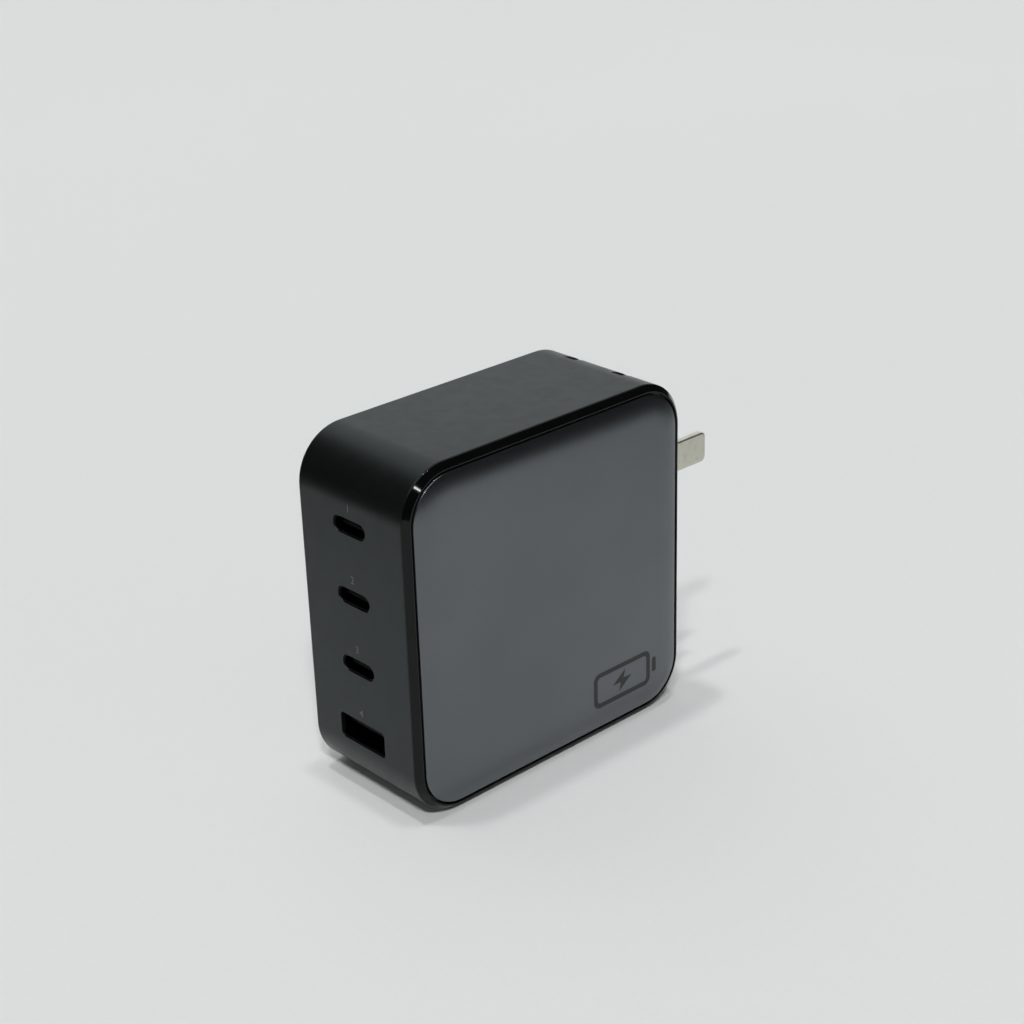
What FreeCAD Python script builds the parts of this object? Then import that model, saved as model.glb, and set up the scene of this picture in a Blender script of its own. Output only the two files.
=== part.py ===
import FreeCAD, Part
import Sketcher

import math
import os
from types import SimpleNamespace

# A compact wall charger: a square moulded housing with four output sockets on one
# side, a crowned front panel in a bevelled frame, and a two-blade plug that folds
# up into slots in the opposite side.
#
# X runs from the socket side (-X) to the plug side (+X), the panel faces -Y and +Z
# is up. The origin is the middle of the flat base. All sizes are millimetres.

SIZES = [
    # Housing
    ("body_width", 69.0, "socket side to plug side"),
    ("body_height", 69.0, "base to top"),
    ("shell_depth", 28.9, "front rim to back face of the shell"),
    ("corner_radius", 10.0, "outline corners"),
    ("wall", 2.2, "side walls"),
    ("back_wall", 2.2, "back wall"),
    ("back_edge_radius", 1.0, "rounding round the back face"),
    ("rim_bevel", 0.2, "bevel round the shell's front rim"),
    ("fit_gap", 0.1, "clearance between pieces that slide together"),
    # Front frame and panel
    ("frame_height", 1.2, "bevelled frame in front of the shell"),
    ("frame_land", 0.15, "upright edge under the frame's bevel"),
    ("frame_floor", 1.2, "plate behind the panel"),
    ("lip_depth", 1.6, "lip that enters the shell"),
    ("lip_wall", 1.2, "thickness of that lip"),
    ("panel_inset", 1.8, "housing outline to panel outline"),
    ("panel_gap", 0.4, "groove round the panel"),
    ("panel_edge", 1.0, "height of the panel's side"),
    ("panel_proud", 0.1, "panel edge above the frame's crest"),
    ("crown_radius", 17.0, "arc that rolls the panel off to its edge"),
    ("crown_reach", 5.0, "width of that roll"),
    ("panel_bevel", 0.2, "bevel round the panel's edge"),
    # Output sockets
    ("port_foot", 13.1, "lowest socket's middle above the base"),
    ("port_head", 13.9, "top socket's middle below the top"),
    ("port_web", 0.7, "wall in front of the wide socket"),
    ("port_relief", 1.2, "clearance of the thinned wall round the sockets"),
    ("mouth_gap", 0.1, "wide socket's mouth behind the thinned wall"),
    ("oval_recess", 0.3, "oval sockets' mouths behind the face"),
    ("oval_width", 8.94, "oval socket, outside"),
    ("oval_height", 3.16, "oval socket, outside"),
    ("wide_width", 13.1, "wide socket, outside"),
    ("wide_height", 5.7, "wide socket, outside"),
    ("wide_corner", 0.7, "wide socket's corners"),
    ("socket_wall", 0.3, "sheet of the socket shells"),
    ("opening_margin", 0.05, "housing opening round a socket"),
    ("socket_depth", 11.7, "wide socket's mouth to port board"),
    ("core_base", 2.0, "insulator block at the foot of a socket"),
    ("core_gap", 0.05, "insulator inside its socket shell"),
    ("tongue_inset", 1.0, "tongue tip behind the socket mouth"),
    ("oval_tongue_width", 6.7, "tongue of an oval socket"),
    ("oval_tongue_thick", 0.7, "tongue of an oval socket"),
    ("wide_tongue_width", 11.1, "tongue of the wide socket"),
    ("wide_tongue_thick", 1.9, "tongue of the wide socket"),
    ("wide_tongue_rise", 1.2, "that tongue above the socket's middle"),
    # Folding plug
    ("hinge_drop", 22.2, "hinge below the top"),
    ("hinge_inset", 4.1, "hinge behind the plug face"),
    ("blade_pitch", 12.7, "blade to blade"),
    ("blade_width", 6.3, "blade height when it points out"),
    ("blade_thick", 1.5, "blade sheet"),
    ("blade_reach", 16.5, "blade in front of the plug face"),
    ("blade_shoulder", 1.2, "full width starts this far from the hinge"),
    ("tail_inset", 0.2, "tail end inside the barrel's surface"),
    ("blade_tail_width", 1.6, "tail height"),
    ("blade_tip_radius", 1.2, "tip corners"),
    ("blade_edge_bevel", 0.2, "coined edges"),
    ("slot_width", 2.8, "slot for a folded blade"),
    ("slot_clear", 1.0, "room under a folded blade"),
    ("rotor_radius", 3.9, "barrel that carries the blades"),
    ("rotor_end", 1.6, "barrel beyond each blade's middle"),
    ("trunnion_radius", 1.6, "pivots at the barrel's ends"),
    ("trunnion_length", 1.2, "pivots at the barrel's ends"),
    ("bearing_end", 0.6, "cradle beyond the pivots"),
    ("run_gap", 0.05, "pivot in its bearing, on the radius"),
    ("turn_gap", 0.3, "barrel in its room"),
    ("cradle_wall", 2.2, "walls of the plug cradle"),
    ("spring_thick", 0.3, "contact springs"),
    ("spring_width", 2.0, "contact springs"),
    ("spring_gap", 0.2, "spring tip to the barrel's sweep"),
    ("spring_tab", 1.5, "tab from a spring to the board"),
    ("spring_foot", 1.0, "foot of that tab on the board"),
    # Boards and what stands on them
    ("board_thick", 1.6, "main board"),
    ("board_standoff", 0.8, "main board off the back wall"),
    ("board_margin", 2.5, "main board to the walls"),
    ("foot_side", 4.0, "square feet under the main board"),
    ("foot_inset", 2.0, "those feet inside the board's edge"),
    ("port_board_thick", 1.2, "port board"),
    ("rail_height", 1.5, "rails that hold the port board"),
    ("rail_thick", 1.0, "rails that hold the port board"),
    ("rail_length", 18.0, "rails that hold the port board"),
    ("part_gap", 1.2, "between neighbours on a board"),
    ("inductor_side", 7.0, "inductors of the outputs"),
    ("inductor_height", 4.0, "inductors of the outputs"),
    ("output_can_length", 12.0, "output capacitors"),
    ("can_headroom", 1.0, "cans below the heat spreader"),
    ("core_yoke", 4.0, "ferrite across a coil's ends"),
    ("coil_overhang", 3.0, "coil beyond its ferrite"),
    ("coil_corner", 2.5, "coil's rounded corners"),
    ("coil_gap", 0.3, "coil inside its ferrite window"),
    ("bobbin_wall", 0.8, "bobbin tube and flanges"),
    ("boost_height", 17.0, "boost inductor, along Z"),
    ("boost_rise", 16.0, "boost inductor above the board"),
    ("ring_radius", 7.0, "line choke ring, outside"),
    ("ring_bore", 3.6, "line choke ring, inside"),
    ("ring_wire", 0.9, "wire on the ring"),
    ("ring_sweep", 110.0, "each winding, degrees"),
    ("bridge_length", 8.0, "bridge rectifier"),
    ("bridge_height", 3.2, "bridge rectifier"),
    ("fuse_length", 8.5, "fuse"),
    ("fuse_radius", 2.1, "fuse"),
    ("filter_height", 12.0, "filter capacitor above the board"),
    ("input_foot", 4.5, "input column above the board's lower edge"),
    ("chip_height", 0.9, "chips above a board"),
    ("pad_thick", 1.5, "thermal pad"),
    ("spreader_thick", 0.8, "heat spreader sheet"),
    ("spreader_flange", 6.0, "folded ends of the heat spreader"),
    ("spreader_clear", 0.3, "heat spreader to the frame's lip"),
    ("film_thick", 0.4, "insulating film"),
]

OVAL_PORTS = 3
MAINS_CANS = 3
OUTPUT_CANS = 3
# Shares of the main board's width: output capacitors, input parts, switches and choke ring.
CAN_SHARE = 0.158
INPUT_SHARE = 0.138
SWITCH_SHARE = 0.1
RING_SHARE = 0.11
# Shares of a wound core's width: ferrite through the coil, and on each side of it.
LEG_SHARE = 0.24
SIDE_SHARE = 0.12
# Coordinates and volumes closer than this count as equal.
TOUCH = 1e-4


def as_size(item):
    """A plain number becomes a size without a cell."""
    return item if isinstance(item, Size) else Size(float(item), f"{float(item)}")


class Size:
    """A length with the sheet expression that gives it."""

    def __init__(self, value, text):
        self.value = value
        self.text = text

    def joined(self, other, sign, value):
        return Size(value, f"({self.text} {sign} {as_size(other).text})")

    def __add__(self, other):
        return self.joined(other, "+", self.value + as_size(other).value)

    def __sub__(self, other):
        return self.joined(other, "-", self.value - as_size(other).value)

    def __mul__(self, other):
        return self.joined(other, "*", self.value * as_size(other).value)

    def __truediv__(self, other):
        return self.joined(other, "/", self.value / as_size(other).value)

    def __neg__(self):
        return as_size(0) - self


def root(size):
    """The square root of a size."""
    return Size(math.sqrt(size.value), f"sqrt({size.text})")


def bind(thing, prop, size):
    """Ties a property to a size."""
    thing.setExpression(prop, as_size(size).text)


def place(thing, x, y, z):
    """Ties an object's position to three sizes."""
    for axis, size in zip("xyz", (x, y, z)):
        bind(thing, f"Placement.Base.{axis}", size)


class Outline:
    """A sketch whose points are tied to sizes."""

    def __init__(self, sketch):
        self.sketch = sketch

    def tie(self, kind, geometry, point, size):
        """Fixes a coordinate of one point, or a radius where there is no point."""
        size = as_size(size)
        where = (geometry,) if point is None else (geometry, point)
        number = self.sketch.addConstraint(Sketcher.Constraint(kind, *where, size.value))
        self.sketch.setExpression(f"Constraints[{number}]", size.text)

    def tie_point(self, geometry, point, x, y):
        self.tie("DistanceX", geometry, point, x)
        self.tie("DistanceY", geometry, point, y)

    def relate(self, kind, *where):
        self.sketch.addConstraint(Sketcher.Constraint(kind, *where))

    def line(self, start, end):
        points = [FreeCAD.Vector(as_size(x).value, as_size(y).value, 0) for x, y in (start, end)]
        return self.sketch.addGeometry(Part.LineSegment(*points), False)

    def arc(self, x, y, radius, start, end):
        circle = Part.Circle(FreeCAD.Vector(as_size(x).value, as_size(y).value, 0),
                             FreeCAD.Vector(0, 0, 1), as_size(radius).value)
        angles = (math.radians(start), math.radians(end))
        return self.sketch.addGeometry(Part.ArcOfCircle(circle, *angles), False)

    def polygon(self, corners):
        """Straight sides between corners."""
        count = len(corners)
        sides = [self.line(corners[i], corners[(i + 1) % count]) for i in range(count)]
        for i, side in enumerate(sides):
            self.relate("Coincident", side, 2, sides[(i + 1) % count], 1)
            self.tie_point(side, 1, *corners[i])

    def rectangle(self, left, right, bottom, top):
        self.polygon([(left, bottom), (right, bottom), (right, top), (left, top)])

    def rounded_rectangle(self, left, right, bottom, top, radius):
        """Four sides joined by four equal arcs."""
        inner_left, inner_right = left + radius, right - radius
        inner_bottom, inner_top = bottom + radius, top - radius
        sides = [self.line((inner_left, bottom), (inner_right, bottom)),
                 self.line((right, inner_bottom), (right, inner_top)),
                 self.line((inner_right, top), (inner_left, top)),
                 self.line((left, inner_top), (left, inner_bottom))]
        arcs = [self.arc(inner_right, inner_bottom, radius, 270, 360),
                self.arc(inner_right, inner_top, radius, 0, 90),
                self.arc(inner_left, inner_top, radius, 90, 180),
                self.arc(inner_left, inner_bottom, radius, 180, 270)]
        for i, arc in enumerate(arcs):
            self.relate("Tangent", sides[i], 2, arc, 1)
            self.relate("Tangent", arc, 2, sides[(i + 1) % 4], 1)
        for arc in arcs[1:]:
            self.relate("Equal", arcs[0], arc)
        for side, kind in zip(sides, ("Horizontal", "Vertical") * 2):
            self.relate(kind, side)
        self.tie("DistanceY", sides[0], 1, bottom)
        self.tie("DistanceX", sides[1], 1, right)
        self.tie("DistanceY", sides[2], 1, top)
        self.tie("DistanceX", sides[3], 1, left)
        self.tie("Radius", arcs[0], None, radius)

    def oblong(self, x, y, width, height):
        """A slot with half-round ends."""
        radius = height / 2
        left, right = x - width / 2 + radius, x + width / 2 - radius
        low = self.line((left, y - radius), (right, y - radius))
        high = self.line((right, y + radius), (left, y + radius))
        ends = [self.arc(right, y, radius, -90, 90), self.arc(left, y, radius, 90, 270)]
        for before, after in ((low, ends[0]), (ends[0], high), (high, ends[1]), (ends[1], low)):
            self.relate("Tangent", before, 2, after, 1)
        self.relate("Horizontal", low)
        self.relate("Horizontal", high)
        self.tie_point(ends[0], 3, right, y)
        self.tie("DistanceX", ends[1], 3, left)
        self.tie("Radius", ends[0], None, radius)

    def circle(self, x, y, radius):
        x, y, radius = as_size(x), as_size(y), as_size(radius)
        circle = Part.Circle(FreeCAD.Vector(x.value, y.value, 0), FreeCAD.Vector(0, 0, 1), radius.value)
        number = self.sketch.addGeometry(circle, False)
        self.tie_point(number, 3, x, y)
        self.tie("Radius", number, None, radius)


class Piece:
    """One moulded, pressed or cut piece, built feature by feature."""

    # Sketch planes: XZ looks along -Y, YZ along +X and XY along +Z.
    OFFSET_SIGN = {"XZ": -1, "YZ": 1, "XY": 1}

    def __init__(self, doc, label):
        self.doc = doc
        self.body = doc.addObject("PartDesign::Body", label)
        self.body.Label = label

    def outline(self, plane, at):
        """A sketch on the plane that lies at the given coordinate."""
        sketch = self.body.newObject("Sketcher::SketchObject", f"{self.body.Label}_outline")
        roles = {feature.Role: feature for feature in self.body.Origin.OriginFeatures}
        sketch.AttachmentSupport = [(roles[f"{plane}_Plane"], "")]
        sketch.MapMode = "FlatFace"
        bind(sketch, "AttachmentOffset.Base.z", as_size(at) * self.OFFSET_SIGN[plane])
        return Outline(sketch)

    def volume(self):
        self.doc.recompute()
        return self.body.Shape.Volume

    def feature(self, kind, outline):
        made = self.body.newObject(f"PartDesign::{kind}", f"{self.body.Label}_{kind.lower()}")
        made.Profile = outline.sketch
        return made

    def pad(self, outline, length, backward=False):
        """Material along the sketch's own direction, or against it."""
        made = self.feature("Pad", outline)
        made.Reversed = backward
        bind(made, "Length", length)
        self.doc.recompute()

    def pocket(self, outline, length, backward=False):
        """A cut against the sketch's own direction, or along it."""
        before = self.volume()
        made = self.feature("Pocket", outline)
        made.Reversed = backward
        bind(made, "Length", length)
        if self.volume() > before - TOUCH:
            raise RuntimeError(f"a pocket of {self.body.Label} cuts nothing")

    def revolve(self, outline, axis="V_Axis", angle=360):
        """Material round an axis of the sketch, centred on the sketch."""
        made = self.feature("Revolution", outline)
        made.ReferenceAxis = (outline.sketch, [axis])
        made.Midplane = True
        bind(made, "Angle", angle)
        self.doc.recompute()

    def edges(self, chosen):
        self.doc.recompute()
        found = self.body.Tip.Shape.Edges
        names = [f"Edge{i}" for i, edge in enumerate(found, start=1) if chosen(edge.BoundBox)]
        if not names:
            raise RuntimeError(f"{self.body.Label} has no such edge")
        return (self.body.Tip, names)

    def round_edges(self, radius, chosen):
        base = self.edges(chosen)
        made = self.body.newObject("PartDesign::Fillet", f"{self.body.Label}_fillet")
        made.Base = base
        bind(made, "Radius", radius)
        self.doc.recompute()

    def bevel_edges(self, size, chosen):
        base = self.edges(chosen)
        made = self.body.newObject("PartDesign::Chamfer", f"{self.body.Label}_chamfer")
        made.Base = base
        bind(made, "Size", size)
        self.doc.recompute()


def at_y(size):
    """Picks the edges that lie in one plane across Y."""
    def chosen(box):
        return abs(box.YMin - size.value) < TOUCH and abs(box.YMax - size.value) < TOUCH
    return chosen


def along_y(x, z):
    """Picks the edge that runs along Y through one point."""
    def chosen(box):
        thin = box.XLength < TOUCH and box.ZLength < TOUCH
        return thin and abs(box.XMin - x.value) < TOUCH and abs(box.ZMin - z.value) < TOUCH
    return chosen


def block(doc, label, x, y, z):
    """A plain rectangular part between pairs of coordinates."""
    made = doc.addObject("Part::Box", label)
    made.Label = label
    for prop, span in zip(("Length", "Width", "Height"), (x, y, z)):
        bind(made, prop, as_size(span[1]) - span[0])
    place(made, x[0], y[0], z[0])
    return made


def make_sheet(doc):
    """Writes the driving sizes to the sheet and reads them back as sizes."""
    sheet = doc.addObject("Spreadsheet::Sheet", "Sizes")
    for row, (alias, value, meaning) in enumerate(SIZES, start=1):
        sheet.set(f"A{row}", meaning)
        sheet.set(f"B{row}", str(value))
        sheet.setAlias(f"B{row}", alias)
    doc.recompute()
    return SimpleNamespace(**{alias: Size(float(sheet.get(alias)), f"Sizes.{alias}")
                              for alias, _, _ in SIZES})


def find_places(s):
    """The planes and centres that several pieces share."""
    p = SimpleNamespace()
    p.left, p.right = -s.body_width / 2, s.body_width / 2
    p.front, p.back = -s.shell_depth / 2, s.shell_depth / 2
    p.inner_left, p.inner_right = p.left + s.wall, p.right - s.wall
    p.floor, p.ceiling = s.wall, s.body_height - s.wall
    p.inner_back = p.back - s.back_wall
    p.inner_radius = s.corner_radius - s.wall
    # Front frame and panel
    p.crest = p.front - s.frame_height
    p.seat = p.crest + s.panel_edge - s.panel_proud
    p.frame_inside = p.seat + s.frame_floor
    p.panel_rim = p.seat - s.panel_edge
    p.crown_rise = s.crown_radius - root(s.crown_radius * s.crown_radius - s.crown_reach * s.crown_reach)
    p.panel_top = p.panel_rim - p.crown_rise
    # Output sockets, from the top one down
    pitch = (s.body_height - s.port_foot - s.port_head) / OVAL_PORTS
    p.ports = [s.port_foot + pitch * (OVAL_PORTS - i) for i in range(OVAL_PORTS + 1)]
    p.mouth = p.left + s.port_web + s.mouth_gap
    p.port_board = p.mouth + s.socket_depth
    p.oval_mouth = p.left + s.oval_recess
    p.oval_depth = p.port_board - p.oval_mouth
    p.port_board_back = p.port_board + s.port_board_thick
    # Folding plug
    p.hinge_x = p.right - s.hinge_inset
    p.hinge_z = s.body_height - s.hinge_drop
    p.blade_y = [-s.blade_pitch / 2, s.blade_pitch / 2]
    p.room = s.rotor_radius + s.turn_gap
    p.slot_floor = p.hinge_x - s.blade_width / 2 - s.slot_clear
    p.rotor_half = s.blade_pitch / 2 + s.rotor_end
    p.room_half = p.rotor_half + s.turn_gap
    p.cradle_back = p.hinge_x - p.room - s.cradle_wall
    p.cradle_foot = p.hinge_z - p.room - s.cradle_wall
    # Main board, seen from the front
    p.board_back = p.inner_back - s.board_standoff
    p.board = p.board_back - s.board_thick
    p.board_foot, p.board_top = p.floor + s.board_margin, p.ceiling - s.board_margin
    p.board_right = p.inner_right - s.board_margin
    p.notch_x = p.cradle_back - s.spring_thick - s.fit_gap
    p.notch_z = p.cradle_foot - s.board_margin / 2
    # Stack between the boards and the front
    p.film = p.frame_inside + s.film_thick
    p.spreader = p.film + s.spreader_thick
    p.pad = p.spreader + s.pad_thick
    p.lip_inset = s.wall + s.fit_gap
    p.spreader_foot = p.lip_inset + s.lip_wall + s.spreader_clear
    p.spreader_top = s.body_height - p.spreader_foot
    # Columns and rows on the main board
    row = p.board_right - p.port_board_back
    p.can_radius = row * CAN_SHARE / 2
    p.switch_width = row * SWITCH_SHARE
    p.ring_thick = row * RING_SHARE
    p.cans_left = p.port_board_back + s.inductor_height + s.part_gap
    p.middle_left = p.cans_left + p.can_radius * 2 + s.part_gap
    p.input_left = p.board_right - row * INPUT_SHARE
    p.middle_right = p.input_left - s.part_gap
    p.mains_radius = (p.notch_x - p.cans_left) / (MAINS_CANS * 2) - s.part_gap / 2
    p.mains_z = p.spreader_top - s.spreader_thick - s.part_gap - p.mains_radius
    p.boost_top = p.mains_z - p.mains_radius - s.part_gap
    p.boost_foot = p.boost_top - s.boost_height
    p.choke_x = p.middle_right - p.ring_thick / 2 - s.ring_wire
    p.boost_right = p.choke_x - p.ring_thick / 2 - s.ring_wire - s.part_gap
    return p


def make_shell(doc, s, p):
    """The housing: back and four walls in one moulding, open at the front."""
    shell = Piece(doc, "shell")
    outside = shell.outline("XZ", p.back)
    outside.rounded_rectangle(p.left, p.right, as_size(0), s.body_height, s.corner_radius)
    shell.pad(outside, s.shell_depth)
    shell.round_edges(s.back_edge_radius, at_y(p.back))
    shell.bevel_edges(s.rim_bevel, at_y(p.front))

    inside = shell.outline("XZ", p.front)
    inside.rounded_rectangle(p.inner_left, p.inner_right, p.floor, p.ceiling, p.inner_radius)
    shell.pocket(inside, s.shell_depth - s.back_wall)

    # The wall is thinner behind the row of sockets, and open in front of each.
    relief = shell.outline("YZ", p.left + s.corner_radius)
    reach = s.wide_width / 2 + s.port_relief
    relief.rectangle(-reach, reach, p.ports[-1] - s.wide_height / 2 - s.port_relief,
                     p.ports[0] + s.oval_height / 2 + s.port_relief)
    shell.pocket(relief, s.corner_radius - s.port_web)
    openings = shell.outline("YZ", p.inner_left)
    for height in p.ports[:OVAL_PORTS]:
        openings.oblong(as_size(0), height, s.oval_width + s.opening_margin * 2,
                        s.oval_height + s.opening_margin * 2)
    half_width = s.wide_width / 2 - s.socket_wall + s.opening_margin
    half_height = s.wide_height / 2 - s.socket_wall + s.opening_margin
    openings.rounded_rectangle(-half_width, half_width, p.ports[-1] - half_height,
                               p.ports[-1] + half_height, s.wide_corner)
    shell.pocket(openings, s.wall)

    # Window for the barrel, and a slot for each blade that runs out over the top corner.
    window = shell.outline("YZ", p.right)
    window.rectangle(-p.room_half, p.room_half, p.hinge_z - p.room, p.hinge_z + p.room)
    shell.pocket(window, s.wall)
    for y in p.blade_y:
        slot = shell.outline("YZ", p.right)
        slot.rectangle(y - s.slot_width / 2, y + s.slot_width / 2, p.hinge_z, s.body_height)
        shell.pocket(slot, p.right - p.slot_floor)

    # Feet carry the main board, and two pairs of rails hold the port board.
    feet = shell.outline("XZ", p.inner_back)
    for x in (p.port_board_back + s.foot_inset, p.notch_x - s.foot_inset - s.foot_side):
        for z in (p.board_foot + s.foot_inset, p.board_top - s.foot_inset - s.foot_side):
            feet.rectangle(x, x + s.foot_side, z, z + s.foot_side)
    shell.pad(feet, s.board_standoff)
    rails = shell.outline("XZ", p.inner_back)
    for x in (p.port_board - s.fit_gap - s.rail_thick, p.port_board_back + s.fit_gap):
        for z in (p.floor, p.ceiling - s.rail_height):
            rails.rectangle(x, x + s.rail_thick, z, z + s.rail_height)
    shell.pad(rails, s.rail_length)
    return shell.body


def make_front_frame(doc, s, p):
    """Bevelled frame with the plate that closes the shell, and a lip that enters it."""
    frame = Piece(doc, "front_frame")
    outside = frame.outline("XZ", p.front)
    outside.rounded_rectangle(p.left, p.right, as_size(0), s.body_height, s.corner_radius)
    frame.pad(outside, s.frame_height)
    frame.bevel_edges(s.frame_height - s.frame_land, at_y(p.crest))

    inset = p.lip_inset
    lip = frame.outline("XZ", p.front)
    lip.rounded_rectangle(p.left + inset, p.right - inset, inset, s.body_height - inset,
                          s.corner_radius - inset)
    frame.pad(lip, s.lip_depth, backward=True)

    groove = s.panel_inset - s.panel_gap
    recess = frame.outline("XZ", p.crest)
    recess.rounded_rectangle(p.left + groove, p.right - groove, groove, s.body_height - groove,
                             s.corner_radius - groove)
    frame.pocket(recess, p.seat - p.crest)

    inside = inset + s.lip_wall
    hollow = frame.outline("XZ", p.front + s.lip_depth)
    hollow.rounded_rectangle(p.left + inside, p.right - inside, inside, s.body_height - inside,
                             s.corner_radius - inside)
    frame.pocket(hollow, p.front + s.lip_depth - p.frame_inside, backward=True)
    return frame.body


def make_front_panel(doc, s, p):
    """Crowned panel: flat in the middle, rolling off on a large arc to a thin bevelled edge."""
    panel = Piece(doc, "front_panel")
    # A wider block gets the whole arc, and is then cut down to the panel's outline.
    spread = s.crown_radius - s.crown_reach - s.panel_inset
    depth = s.crown_radius + s.panel_edge
    wide = panel.outline("XZ", p.panel_top + depth)
    wide.rounded_rectangle(p.left - spread, p.right + spread, -spread, s.body_height + spread,
                           s.corner_radius + spread)
    panel.pad(wide, depth)
    panel.round_edges(s.crown_radius, at_y(p.panel_top))

    trim = panel.outline("XZ", p.panel_top)
    beyond = spread + s.panel_edge
    trim.rectangle(p.left - beyond, p.right + beyond, -beyond, s.body_height + beyond)
    trim.rounded_rectangle(p.left + s.panel_inset, p.right - s.panel_inset, s.panel_inset,
                           s.body_height - s.panel_inset, s.corner_radius - s.panel_inset)
    panel.pocket(trim, depth)
    behind = panel.outline("XZ", p.seat)
    behind.rectangle(p.left, p.right, as_size(0), s.body_height)
    panel.pocket(behind, depth)
    panel.bevel_edges(s.panel_bevel, at_y(p.panel_rim))
    return panel.body


def make_plug_cradle(doc, s, p):
    """Moulded cradle behind the plug face: the barrel's room and bearings, and the blades' slots."""
    cradle = Piece(doc, "plug_cradle")
    half = p.room_half + s.trunnion_length + s.bearing_end
    side = cradle.outline("XZ", half)
    side.rectangle(p.cradle_back, p.inner_right, p.cradle_foot, p.ceiling)
    cradle.pad(side, half * 2)
    # Its top corner follows the inside of the shell.
    corner = cradle.outline("XZ", -half)
    corner.rectangle(p.left, p.right, as_size(0), s.body_height)
    corner.rounded_rectangle(p.inner_left, p.inner_right, p.floor, p.ceiling - s.fit_gap, p.inner_radius)
    cradle.pocket(corner, half * 2)

    room = cradle.outline("YZ", p.inner_right)
    room.rectangle(-p.room_half, p.room_half, p.hinge_z - p.room, p.hinge_z + p.room)
    cradle.pocket(room, p.inner_right - p.hinge_x + p.room)
    for y in p.blade_y:
        slot = cradle.outline("YZ", p.inner_right)
        slot.rectangle(y - s.slot_width / 2, y + s.slot_width / 2, p.hinge_z, s.body_height)
        cradle.pocket(slot, p.inner_right - p.slot_floor)
        window = cradle.outline("YZ", p.hinge_x)
        reach = s.spring_width / 2 + s.fit_gap
        window.rectangle(y - reach, y + reach, p.hinge_z - reach, p.hinge_z + reach)
        cradle.pocket(window, p.hinge_x - p.cradle_back)
    bearing = cradle.outline("XZ", -p.room_half - s.trunnion_length)
    bearing.circle(p.hinge_x, p.hinge_z, s.trunnion_radius + s.run_gap)
    cradle.pocket(bearing, (p.room_half + s.trunnion_length) * 2)
    return cradle.body


def draw_blade(outline, s, p, tail):
    """A blade from the side: a narrow tail through the hinge, then the full width."""
    end = p.right + s.blade_reach
    shoulder = p.hinge_x + s.blade_shoulder
    narrow, full = s.blade_tail_width / 2, s.blade_width / 2
    outline.polygon([(p.hinge_x - tail, p.hinge_z - narrow), (shoulder, p.hinge_z - narrow),
                     (shoulder, p.hinge_z - full), (end, p.hinge_z - full),
                     (end, p.hinge_z + full), (shoulder, p.hinge_z + full),
                     (shoulder, p.hinge_z + narrow), (p.hinge_x - tail, p.hinge_z + narrow)])


def make_plug_rotor(doc, s, p):
    """Insulating barrel on two pivots, moulded round both blades."""
    rotor = Piece(doc, "plug_rotor")
    barrel = rotor.outline("XZ", p.rotor_half)
    barrel.circle(p.hinge_x, p.hinge_z, s.rotor_radius)
    rotor.pad(barrel, p.rotor_half * 2)
    reach = p.room_half + s.trunnion_length - s.fit_gap
    pivots = rotor.outline("XZ", reach)
    pivots.circle(p.hinge_x, p.hinge_z, s.trunnion_radius)
    rotor.pad(pivots, reach * 2)
    for y in p.blade_y:
        seat = rotor.outline("XZ", y - s.blade_thick / 2)
        draw_blade(seat, s, p, p.room)
        rotor.pocket(seat, s.blade_thick)
    return rotor.body


def make_blade(doc, s, p, label, y):
    """Flat plug blade with rounded tip corners and coined edges."""
    blade = Piece(doc, label)
    side = blade.outline("XZ", y + s.blade_thick / 2)
    draw_blade(side, s, p, s.rotor_radius - s.tail_inset)
    blade.pad(side, s.blade_thick)
    end = p.right + s.blade_reach
    for z in (p.hinge_z - s.blade_width / 2, p.hinge_z + s.blade_width / 2):
        blade.round_edges(s.blade_tip_radius, along_y(end, z))
    tip = end - s.blade_tip_radius

    def outer_edges(box):
        flat = box.YLength < TOUCH
        return flat and box.XMax > tip.value + TOUCH
    blade.bevel_edges(s.blade_edge_bevel, outer_edges)
    return blade.body


def make_contact_spring(doc, s, p, label, y, drop):
    """Bent strip: a finger behind a blade's tail, a leg down the cradle and a foot on the board."""
    spring = Piece(doc, label)
    half = s.spring_width / 2
    back = p.cradle_back - s.spring_thick
    tip = p.hinge_x - s.rotor_radius - s.spring_gap
    low, high = p.hinge_z - s.spring_thick / 2, p.hinge_z + s.spring_thick / 2
    foot = p.hinge_z - drop
    strip = spring.outline("XZ", y + half)
    strip.polygon([(back, foot), (p.cradle_back, foot), (p.cradle_back, low), (tip, low),
                   (tip, high), (back, high)])
    spring.pad(strip, s.spring_width)
    tab = spring.outline("XY", foot)
    edge = p.board - s.spring_thick
    toe = back - s.spring_foot
    tab.polygon([(back, y - half), (p.cradle_back, y - half), (p.cradle_back, p.board),
                 (toe, p.board), (toe, edge), (back, edge)])
    spring.pad(tab, s.spring_tab)
    return spring.body


def make_boards(doc, s, p):
    """Main board along the back wall, and port board across the socket side."""
    main = Piece(doc, "main_board")
    sheet = main.outline("XZ", p.board_back)
    sheet.polygon([(p.port_board_back, p.board_foot), (p.board_right, p.board_foot),
                   (p.board_right, p.notch_z), (p.notch_x, p.notch_z),
                   (p.notch_x, p.board_top), (p.port_board_back, p.board_top)])
    main.pad(sheet, s.board_thick)
    main.round_edges(p.inner_radius - s.board_margin, along_y(p.board_right, p.board_foot))
    front = p.front + s.lip_depth + s.part_gap
    port = block(doc, "port_board", (p.port_board, p.port_board_back), (front, p.board_back),
                 (p.floor + s.fit_gap, p.ceiling - s.fit_gap))
    return [main.body, port]


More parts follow.
